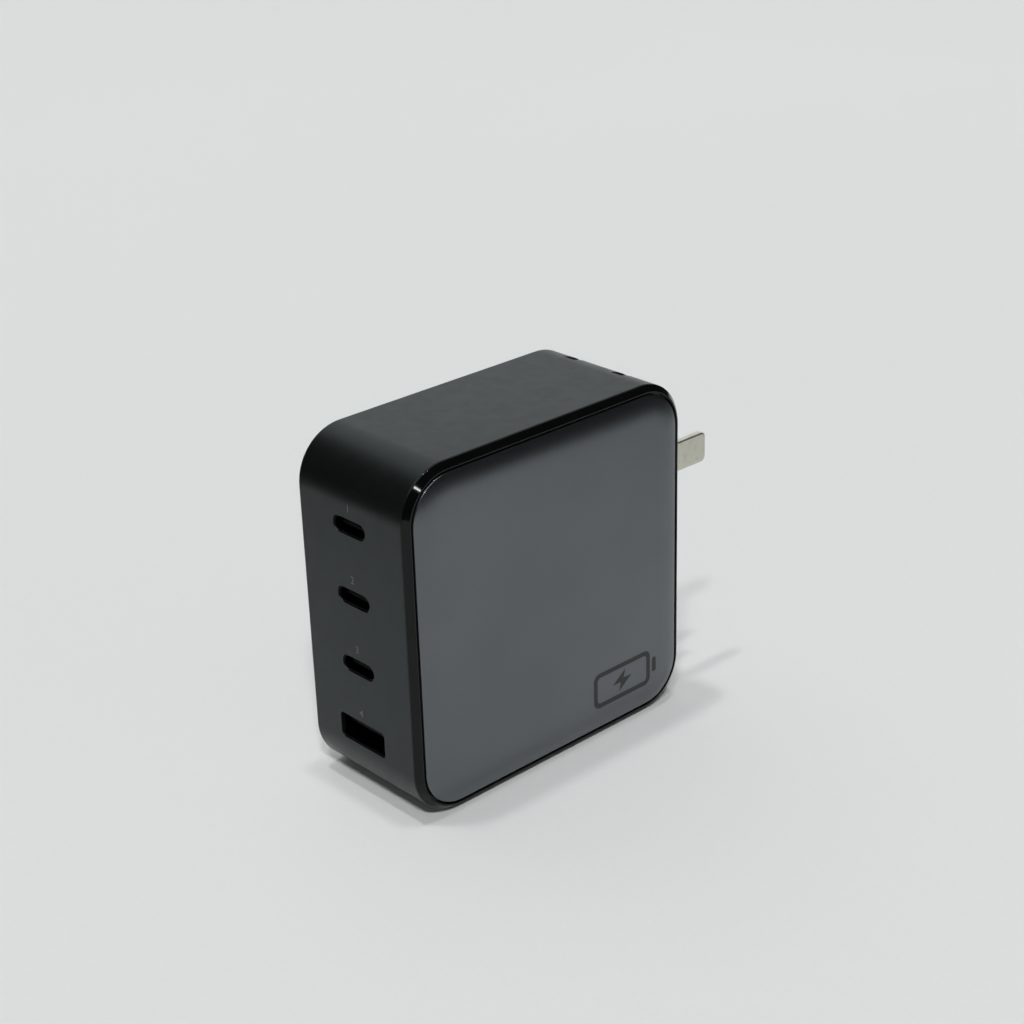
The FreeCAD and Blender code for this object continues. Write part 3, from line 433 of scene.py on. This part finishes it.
def wound(name, shade, shadow, direction, pitch, roughness, metallic=0.0):
    """Layers of tape or turns of wire, as bands with shaded gaps."""
    finish = Finish(name)
    layout = {"Vector": finish.place(), "Scale": WAVE_RATE / pitch, "Distortion": 0.4, "Detail": 1.0}
    bands = finish.add("ShaderNodeTexWave", {"wave_type": "BANDS", "bands_direction": direction}, layout,
                       output="Fac")
    finish.set(Base_Color=finish.blend(bands, shadow, shade), Metallic=metallic,
               Roughness=finish.spread(bands, roughness + 0.1, roughness - 0.05, low=0.0, high=1.0),
               Normal=finish.bump(bands, depth=pitch * 0.2))
    return finish.material


def table_top(name, shade, level, even):
    """Pale table top, partly evenly lit for the camera and for reflections."""
    finish = Finish(name)
    point = finish.place()
    drift = finish.noise(point, scale=0.0022, detail=3.0)
    grain = finish.noise(point, scale=0.9)
    tone = finish.spread(drift * 0.7 + grain * 0.3, 0.0, 1.0)
    clean = finish.toned(tone, shade, dark=0.98, light=1.02)
    finish.set(Base_Color=clean, Roughness=finish.spread(grain, 0.5, 0.56), Specular_IOR_Level=0.0,
               Normal=finish.bump(grain, depth=0.004))
    seen = finish.add("ShaderNodeLightPath", output="Is Camera Ray")
    mirrored = finish.add("ShaderNodeLightPath", output="Is Glossy Ray")
    finish.glow(clean, level, (seen + mirrored) * even)
    return finish.material


def rounded_square(low, high, radius, inset, steps):
    """Points of a rounded rectangle moved inwards, each with the way out, anticlockwise from the front."""
    points = []
    reach = radius - inset
    corners = ((high.x, low.z, 270), (high.x, high.z, 0), (low.x, high.z, 90), (low.x, low.z, 180))
    for x, z, start in corners:
        centre_x = x - math.copysign(radius, x)
        centre_z = radius + low.z if z == low.z else z - radius
        for step in range(steps + 1):
            angle = math.radians(start + 90 * step / steps)
            out = (math.cos(angle), math.sin(angle))
            points.append((centre_x + reach * out[0], centre_z + reach * out[1], out))
    return points


def turned(first, second):
    """The way out of a section that runs from one point to the next."""
    run = (second - first).normalized()
    return Vector((run.y, -run.x))


def rounded_section(corners, steps=5):
    """A section through a rim: (inset, y, radius) corners become points with their ways out.

    A radius of 0 marks a point on a smooth curve."""
    spots = [Vector(corner[:2]) for corner in corners]
    made = [(spots[0], turned(spots[0], spots[1]))]
    for before, here, after, corner in zip(spots, spots[1:], spots[2:], corners[1:]):
        enter, leave = turned(before, here), turned(here, after)
        radius = corner[2]
        if radius == 0:
            made.append((here, (enter + leave).normalized()))
            continue
        bend = enter.angle_signed(leave)
        back = radius * math.tan(abs(bend) / 2)
        start = here + (before - here).normalized() * back
        side = 1 if bend > 0 else -1
        centre = start + enter * (side * radius)
        for step in range(steps + 1):
            way = enter.copy()
            way.rotate(Matrix.Rotation(-bend * step / steps, 2))
            made.append((centre - way * (side * radius), way))
    made.append((spots[-1], turned(spots[-2], spots[-1])))
    return made


def loft(name, section, low, high, radius, steps):
    """A closed rim piece: its section carried round the outline, with flat ends."""
    vertices, faces, ways = [], [], []
    rings = []
    for spot, way in section:
        ring = rounded_square(low, high, radius, spot.x, steps)
        rings.append([(len(vertices) + i, Vector((-way.x * out[0], way.y, -way.x * out[1])))
                      for i, (_, _, out) in enumerate(ring)])
        vertices += [(x, spot.y, z) for x, z, _ in ring]
    count = len(rings[0])
    for inner, outer in zip(rings, rings[1:]):
        for i in range(count):
            corners = (inner[i], inner[(i + 1) % count], outer[(i + 1) % count], outer[i])
            faces.append([corner[0] for corner in corners])
            ways += [corner[1] for corner in corners]
    for ring, flip in ((rings[0], True), (rings[-1], False)):
        order = ring[::-1] if flip else ring
        faces.append([corner[0] for corner in order])
        ways += [Vector((0, 1 if flip else -1, 0))] * count
    mesh = bpy.data.meshes.new(name)
    mesh.from_pydata(vertices, [], faces)
    mesh.shade_smooth()
    mesh.normals_split_custom_set([tuple(way) for way in ways])
    return bpy.data.objects.new(name, mesh)


def dressed(name, node, edge):
    """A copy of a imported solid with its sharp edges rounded."""
    shape = bmesh.new()
    shape.from_mesh(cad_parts[node].data)
    bmesh.ops.remove_doubles(shape, verts=shape.verts, dist=WELD)
    bmesh.ops.dissolve_limit(shape, angle_limit=FLAT_BEND, verts=shape.verts, edges=shape.edges)
    sharp = [item for item in shape.edges
             if len(item.link_faces) == 2 and item.calc_face_angle() > SHARP_BEND]
    bmesh.ops.bevel(shape, geom=sharp, offset=edge, offset_type="OFFSET", segments=2, profile=0.5,
                    affect="EDGES", clamp_overlap=True)
    mesh = bpy.data.meshes.new(name)
    shape.to_mesh(mesh)
    shape.free()
    mesh.shade_smooth()
    made = bpy.data.objects.new(name, mesh)
    made.modifiers.new("weighted", "WEIGHTED_NORMAL").keep_sharp = True
    return made


def finish_piece(piece, material, body, slot, *nodes):
    """Puts a piece in the scene with its finish, on its body."""
    bpy.context.scene.collection.objects.link(piece)
    piece.data.materials.clear()
    piece.data.materials.append(material)
    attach(piece, body)
    if nodes:
        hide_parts(*nodes)


def paint(material, *nodes):
    """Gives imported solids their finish."""
    for node in nodes:
        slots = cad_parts[node].data.materials
        slots.clear()
        slots.append(material)


class CHARGER_OT_housing(bpy.types.Operator):
    """Matt housing with rounded edges round its openings"""
    bl_idname = "charger.housing"
    bl_label = "Housing"

    def execute(self, context):
        looks = context.scene.charger_housing
        piece = dressed("housing_shell", "shell", looks.edge)
        face = SHELL_LOW.x + looks.ink_room
        for vertex in piece.data.vertices:
            vertex.co.x = max(vertex.co.x, face)
        material = matt_plastic("housing_matt", looks.plastic, grain=0.0015, roughness=0.36,
                                sheen=looks.sheen, tint=looks.tint)
        finish_piece(piece, material, HOUSING, "housing_plastic", "shell")
        return {"FINISHED"}


class CHARGER_OT_front_frame(bpy.types.Operator):
    """Polished frame with a sloping face, a groove and the plate behind the panel"""
    bl_idname = "charger.front_frame"
    bl_label = "Front frame"

    def execute(self, context):
        looks, body = context.scene.charger_frame, context.scene.charger_housing
        crest, front = FRAME_LOW.y, SHELL_LOW.y
        seat = crest + looks.recess
        inside = looks.lip_inset + looks.lip_wall
        edge = looks.edge
        run = edge * END_RUN
        section = rounded_section([
            (inside + run, seat + looks.plate, 0), (inside, seat + looks.plate, edge),
            (inside, FRAME_HIGH.y, edge), (looks.lip_inset, FRAME_HIGH.y, edge),
            (looks.lip_inset, front, edge), (0.0, front, edge / 2),
            (0.0, front - looks.land, looks.rim), (looks.bevel, crest, looks.rim),
            (looks.opening, crest, edge), (looks.opening, seat, edge),
            (looks.opening + run, seat, 0)])
        piece = loft("glossy_frame", section, SHELL_LOW, SHELL_HIGH, body.corner, body.steps)
        material = gloss_plastic("frame_gloss", looks.gloss, looks.sheen)
        finish_piece(piece, material, HOUSING, "frame_plastic", "front_frame")
        return {"FINISHED"}


class CHARGER_OT_front_panel(bpy.types.Operator):
    """Crowned satin panel with a rounded rim"""
    bl_idname = "charger.front_panel"
    bl_label = "Front panel"

    def execute(self, context):
        looks, body = context.scene.charger_panel, context.scene.charger_housing
        back = PANEL_HIGH.y
        rim = back - looks.side
        top = PANEL_LOW.y + looks.ink_room
        corners = [(looks.inset + looks.edge * END_RUN, back, 0), (looks.inset, back, looks.edge / 2),
                   (looks.inset, rim, looks.edge)]
        for step in range(2, looks.steps + 1):
            across = step / looks.steps
            depth = (rim - top) * (1 - across) ** looks.fade
            corners.append((looks.inset + looks.reach * across, top + depth, 0))
        corners.append((looks.inset + looks.reach + looks.edge, top, 0))
        section = rounded_section(corners)
        piece = loft("crowned_panel", section, SHELL_LOW, SHELL_HIGH, body.corner, body.steps)
        material = satin_paint("panel_satin", looks.satin, looks.metal)
        finish_piece(piece, material, HOUSING, "panel_plastic", "front_panel")
        return {"FINISHED"}


def plate(name, outlines, origin, thickness):
    """Flat shapes printed on the front: each a list of outlines, the first outside and the rest holes."""
    shape = bmesh.new()
    for loops in outlines:
        edges = []
        for loop in loops:
            spots = [shape.verts.new(origin + RIGHT * x + UP * y) for x, y in loop]
            edges += [shape.edges.new((spots[i - 1], spots[i])) for i in range(len(spots))]
        bmesh.ops.triangle_fill(shape, edges=edges, use_beauty=True, use_dissolve=False, normal=FORWARD)
    made = bmesh.ops.extrude_face_region(shape, geom=shape.faces[:])
    raised = [item for item in made["geom"] if isinstance(item, bmesh.types.BMVert)]
    bmesh.ops.translate(shape, verts=raised, vec=FORWARD * thickness)
    bmesh.ops.recalc_face_normals(shape, faces=shape.faces)
    mesh = bpy.data.meshes.new(name)
    shape.to_mesh(mesh)
    shape.free()
    return bpy.data.objects.new(name, mesh)


def round_box(width, height, radius, steps=8):
    """A rounded rectangle about the middle."""
    points = []
    for x, y, start in ((1, -1, 270), (1, 1, 0), (-1, 1, 90), (-1, -1, 180)):
        for step in range(steps + 1):
            angle = math.radians(start + 90 * step / steps)
            points.append((x * (width / 2 - radius) + radius * math.cos(angle),
                           y * (height / 2 - radius) + radius * math.sin(angle)))
    return points


class CHARGER_OT_panel_mark(bpy.types.Operator):
    """Plain charging sign printed low on the panel"""
    bl_idname = "charger.panel_mark"
    bl_label = "Panel mark"

    def execute(self, context):
        looks, room = context.scene.charger_mark, context.scene.charger_panel.ink_room
        case = round_box(looks.width, looks.height, looks.corner)
        hollow = round_box(looks.width - looks.line * 2, looks.height - looks.line * 2, looks.hollow_corner)
        knob_middle = looks.width / 2 + looks.knob_gap + looks.knob_width / 2
        knob = [(x + knob_middle, y)
                for x, y in round_box(looks.knob_width, looks.knob_height, looks.knob_corner)]
        tip, wing, waist = Vector(looks.bolt_tip), Vector(looks.bolt_wing), Vector(looks.bolt_waist)
        bolt = [tip, -wing, -waist, -tip, wing, waist]
        origin = Vector((looks.middle[0], PANEL_LOW.y + room, looks.middle[1]))
        piece = plate("charging_mark", [[case, hollow], [knob], [bolt]], origin, room * looks.cover)
        finish_piece(piece, ink("mark_ink", looks.ink), HOUSING, "panel_plastic")
        return {"FINISHED"}


def printed_digit(name, number, height, thickness, foot):
    """A digit on the socket side, with its foot at a point."""
    words = bpy.data.curves.new(name, "FONT")
    words.body = str(number)
    words.size = height * FONT_RATIO
    words.align_x = "CENTER"
    words.extrude = thickness / 2
    text = bpy.data.objects.new(name, words)
    mesh = bpy.data.meshes.new_from_object(text)
    bpy.data.objects.remove(text)
    facing = Matrix(((0, 0, -1), (-1, 0, 0), (0, 1, 0))).to_4x4()
    mesh.transform(Matrix.Translation(foot) @ facing)
    shape = bmesh.new()
    shape.from_mesh(mesh)
    bmesh.ops.beautify_fill(shape, faces=shape.faces, edges=shape.edges)
    shape.to_mesh(mesh)
    shape.free()
    mesh.name = name
    return bpy.data.objects.new(name, mesh)


class CHARGER_OT_sockets(bpy.types.Operator):
    """Dark plated sleeves with their tongues, and a small number over each"""
    bl_idname = "charger.sockets"
    bl_label = "Sockets"

    def execute(self, context):
        looks, room = context.scene.charger_sockets, context.scene.charger_housing.ink_room
        plating = plated_metal("sleeve_plating", looks.plating, roughness=0.4, stretch=(0.2, 1, 1))
        insulator = matt_plastic("socket_insulator", looks.tongue, grain=0.003, roughness=0.5, sheen=0.06)
        printed = ink("number_ink", looks.print_ink)
        for number, label in enumerate(SOCKETS, start=1):
            sleeve = dressed(f"{label}_sleeve", f"{label}_shell", looks.edge)
            finish_piece(sleeve, plating, HOUSING, "socket_metal", f"{label}_shell")
            tongue = dressed(f"{label}_tongue", f"{label}_core", looks.edge)
            finish_piece(tongue, insulator, HOUSING, "socket_insulator", f"{label}_core")
            low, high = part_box(f"{label}_shell")
            rise = max(looks.print_rise, (high.z - low.z) / 2 + looks.print_gap)
            foot = Vector((SHELL_LOW.x + room / 2, 0, (low.z + high.z) / 2 + rise))
            digit = printed_digit(f"{label}_number", number, looks.print_height, room * looks.cover, foot)
            finish_piece(digit, printed, HOUSING, "socket_insulator")
        return {"FINISHED"}


class CHARGER_OT_plug(bpy.types.Operator):
    """Folding plug: plated blades on an insulating barrel, in its cradle"""
    bl_idname = "charger.plug"
    bl_label = "Plug"

    def execute(self, context):
        looks = context.scene.charger_plug
        nickel = plated_metal("blade_nickel", looks.nickel, roughness=0.34, stretch=(0.12, 1, 1))
        moulded = matt_plastic("plug_insulator", looks.insulator, grain=0.005, roughness=0.48)
        for node in ("blade_front", "blade_rear"):
            finish_piece(dressed(f"plated_{node}", node, looks.edge), nickel, PLUG, "blade_metal", node)
        barrel = dressed("plug_barrel", "plug_rotor", looks.edge)
        finish_piece(barrel, moulded, PLUG, "inner_plastic", "plug_rotor")
        bed = dressed("plug_bed", "plug_cradle", looks.bed_edge)
        finish_piece(bed, moulded, HOUSING, "inner_plastic", "plug_cradle")
        return {"FINISHED"}


class CHARGER_OT_inside(bpy.types.Operator):
    """Finishes of the parts inside the housing"""
    bl_idname = "charger.inside"
    bl_label = "Inside"

    def execute(self, context):
        paint(board_mask("board_green"), "main_board", "port_board")
        paint(speckled("ferrite", (0.03, 0.03, 0.032), (0.09, 0.09, 0.095), scale=3.0, roughness=0.6),
              "transformer_core", "boost_inductor_core", "line_choke_core")
        paint(speckled("pressed_powder", (0.06, 0.06, 0.063), (0.13, 0.13, 0.135), scale=4.0, roughness=0.5,
                       metallic=0.3), *[f"output_inductor_{i}" for i in (1, 2, 3)])
        paint(matt_plastic("bobbin_black", (0.016, 0.016, 0.017), grain=0.006, roughness=0.5),
              "transformer_bobbin", "boost_inductor_bobbin")
        paint(wound("coil_tape", (0.62, 0.42, 0.05), (0.4, 0.25, 0.03), direction="Y", pitch=1.1,
                    roughness=0.35), "transformer_coil", "boost_inductor_coil")
        paint(wound("choke_wire", (0.55, 0.22, 0.09), (0.16, 0.05, 0.02), direction="Z", pitch=0.9,
                    roughness=0.28, metallic=0.9), "line_choke_winding_1", "line_choke_winding_2")
        paint(matt_plastic("can_sleeve", (0.02, 0.022, 0.032), grain=0.002, roughness=0.34),
              *[f"{group}_capacitor_{i}" for group in ("mains", "output") for i in (1, 2, 3)])
        paint(speckled("chip_epoxy", (0.018, 0.018, 0.019), (0.05, 0.05, 0.052), scale=6.0, roughness=0.5,
                       relief=0.004),
              "bridge_rectifier", "boost_switch", "main_switch", "mains_controller", "output_controller")
        paint(matt_plastic("fuse_brown", (0.09, 0.04, 0.02), grain=0.003, roughness=0.3), "fuse")
        paint(matt_plastic("film_box_yellow", (0.6, 0.42, 0.06), grain=0.004, roughness=0.42),
              "filter_capacitor")
        paint(speckled("gap_pad", (0.36, 0.38, 0.45), (0.5, 0.52, 0.58), scale=2.5, roughness=0.75,
                       relief=0.02), "thermal_pad")
        paint(plated_metal("spreader_sheet", (0.72, 0.72, 0.73), roughness=0.38, stretch=(1, 1, 0.1)),
              "heat_spreader")
        paint(matt_plastic("insulating_sheet", (0.03, 0.03, 0.03), grain=0.002, roughness=0.4),
              "insulating_film")
        paint(plated_metal("spring_strip", (0.72, 0.55, 0.28), roughness=0.3, stretch=(1, 1, 0.12)),
              "contact_spring_front", "contact_spring_rear")
        return {"FINISHED"}


def make_sun(name, way, strength, angle, mirrored):
    """A lamp far up, which may show in the gloss."""
    lamp = bpy.data.lights.new(name, "SUN")
    lamp.energy = strength
    lamp.angle = angle
    made = bpy.data.objects.new(name, lamp)
    made.rotation_euler = Vector(way).to_track_quat("Z", "Y").to_euler()
    made.visible_glossy = mirrored
    bpy.context.scene.collection.objects.link(made)


def make_lamp(name, spot, aim, size, power):
    """A square lamp that shows only in the gloss."""
    lamp = bpy.data.lights.new(name, "AREA")
    lamp.shape = "SQUARE"
    lamp.size = size
    lamp.energy = power
    made = bpy.data.objects.new(name, lamp)
    made.location = spot
    made.rotation_euler = (spot - aim).to_track_quat("Z", "Y").to_euler()
    made.visible_diffuse = False
    bpy.context.scene.collection.objects.link(made)


class CHARGER_OT_stage(bpy.types.Operator):
    """Pale table top, soft lamps, the room round them and the camera"""
    bl_idname = "charger.stage"
    bl_label = "Stage"

    def execute(self, context):
        scene, looks = context.scene, context.scene.charger_stage
        reach = looks.floor_reach
        pale = table_top("table_pale", looks.floor, looks.level, looks.even)
        self.sheet(scene, "table_top", FORWARD * reach, FORWARD * reach * -2, RIGHT * reach, pale)
        for name, way, share, across, mirrored in CEILING_LAMPS:
            make_sun(name, way, looks.key * share, math.radians(across), mirrored)
        make_lamp("glint_lamp", looks.glint_place, looks.glint_aim, looks.glint_size, looks.glint)
        black = speckled("card_black", looks.card, looks.card_speck, scale=0.2, roughness=0.9)
        for name, (x, y), width, height in CARDS:
            along = Vector((-y, x, 0)).normalized() * width / 2
            card = self.sheet(scene, name, Vector((x, y, 0)), UP * height, along, black)
            card.visible_camera = False
            card.visible_diffuse = False
            card.visible_shadow = False
        self.room(scene, looks)
        self.camera(scene, looks)
        return {"FINISHED"}

    def sheet(self, scene, name, foot, rise, along, material):
        """A flat sheet that rises from the middle of its foot and reaches as far to either side."""
        mesh = bpy.data.meshes.new(name)
        corners = [foot - along, foot + along, foot + along + rise, foot - along + rise]
        mesh.from_pydata(corners, [], [(0, 1, 2, 3)])
        mesh.materials.append(material)
        made = bpy.data.objects.new(name, mesh)
        scene.collection.objects.link(made)
        return made

    def room(self, scene, looks):
        """A pale backdrop, which fills the shadows softly."""
        world = bpy.data.worlds.new("room")
        scene.world = world
        graph = Graph(world)
        fill = graph.add("ShaderNodeBackground", sockets={0: looks.backdrop, 1: looks.sky})
        backdrop = graph.add("ShaderNodeBackground", sockets={0: looks.backdrop, 1: looks.backdrop_level})
        seen = sum(graph.add("ShaderNodeLightPath", output=f"Is {kind} Ray")
                   for kind in ("Camera", "Glossy", "Transmission"))
        light = graph.add("ShaderNodeMixShader", sockets={0: seen, 1: fill, 2: backdrop})
        graph.add("ShaderNodeOutputWorld", sockets={0: light})

    def camera(self, scene, looks):
        """The photograph's viewpoint."""
        flat = math.cos(looks.elevation)
        back = Vector((math.sin(looks.azimuth) * flat, -math.cos(looks.azimuth) * flat,
                       math.sin(looks.elevation)))
        right = (-back).cross(UP).normalized()
        up = right.cross(-back)
        turn, lift = math.cos(looks.roll), math.sin(looks.roll)
        right, up = right * turn + up * lift, up * turn - right * lift
        lens = bpy.data.cameras.new("camera")
        lens.sensor_width = SENSOR_WIDTH
        lens.lens = looks.lens
        lens.clip_start = looks.near
        made = bpy.data.objects.new("camera", lens)
        spot = Vector(looks.target) + back * looks.distance
        made.matrix_world = Matrix.Translation(spot) @ Matrix((right, up, back)).transposed().to_4x4()
        scene.collection.objects.link(made)
        scene.camera = made


class CHARGER_PT_panel(bpy.types.Panel):
    """Sizes, colours and pieces of the charger"""
    bl_idname = "CHARGER_PT_panel"
    bl_label = "Charger"
    bl_space_type = "VIEW_3D"
    bl_region_type = "UI"
    bl_category = "Charger"

    def draw(self, context):
        for name, kind in GROUPS.items():
            column = self.layout.column(align=True)
            column.label(text=name.replace("charger_", "").capitalize())
            for key in kind.__annotations__:
                column.prop(getattr(context.scene, name), key)
        for piece in PIECES:
            self.layout.operator(piece.bl_idname)


GROUPS = {
    "charger_housing": HousingLooks,
    "charger_frame": FrameLooks,
    "charger_panel": PanelLooks,
    "charger_mark": MarkLooks,
    "charger_plug": PlugLooks,
    "charger_sockets": SocketLooks,
    "charger_stage": StageLooks,
}
PIECES = (CHARGER_OT_housing, CHARGER_OT_front_frame, CHARGER_OT_front_panel, CHARGER_OT_panel_mark,
          CHARGER_OT_sockets, CHARGER_OT_plug, CHARGER_OT_inside, CHARGER_OT_stage)


def register():
    for kind in (*GROUPS.values(), *PIECES, CHARGER_PT_panel):
        bpy.utils.register_class(kind)
    for name, kind in GROUPS.items():
        setattr(bpy.types.Scene, name, PointerProperty(type=kind))


def unregister():
    for name in GROUPS:
        delattr(bpy.types.Scene, name)
    for kind in reversed((*GROUPS.values(), *PIECES, CHARGER_PT_panel)):
        bpy.utils.unregister_class(kind)


def main():
    register()
    bpy.ops.charger.housing()
    bpy.ops.charger.front_frame()
    bpy.ops.charger.front_panel()
    bpy.ops.charger.panel_mark()
    bpy.ops.charger.sockets()
    bpy.ops.charger.plug()
    bpy.ops.charger.inside()
    bpy.ops.charger.stage()
    bpy.context.scene.view_settings.view_transform = "Standard"
    bpy.context.view_layer.update()


if __name__ == "__main__":
    main()
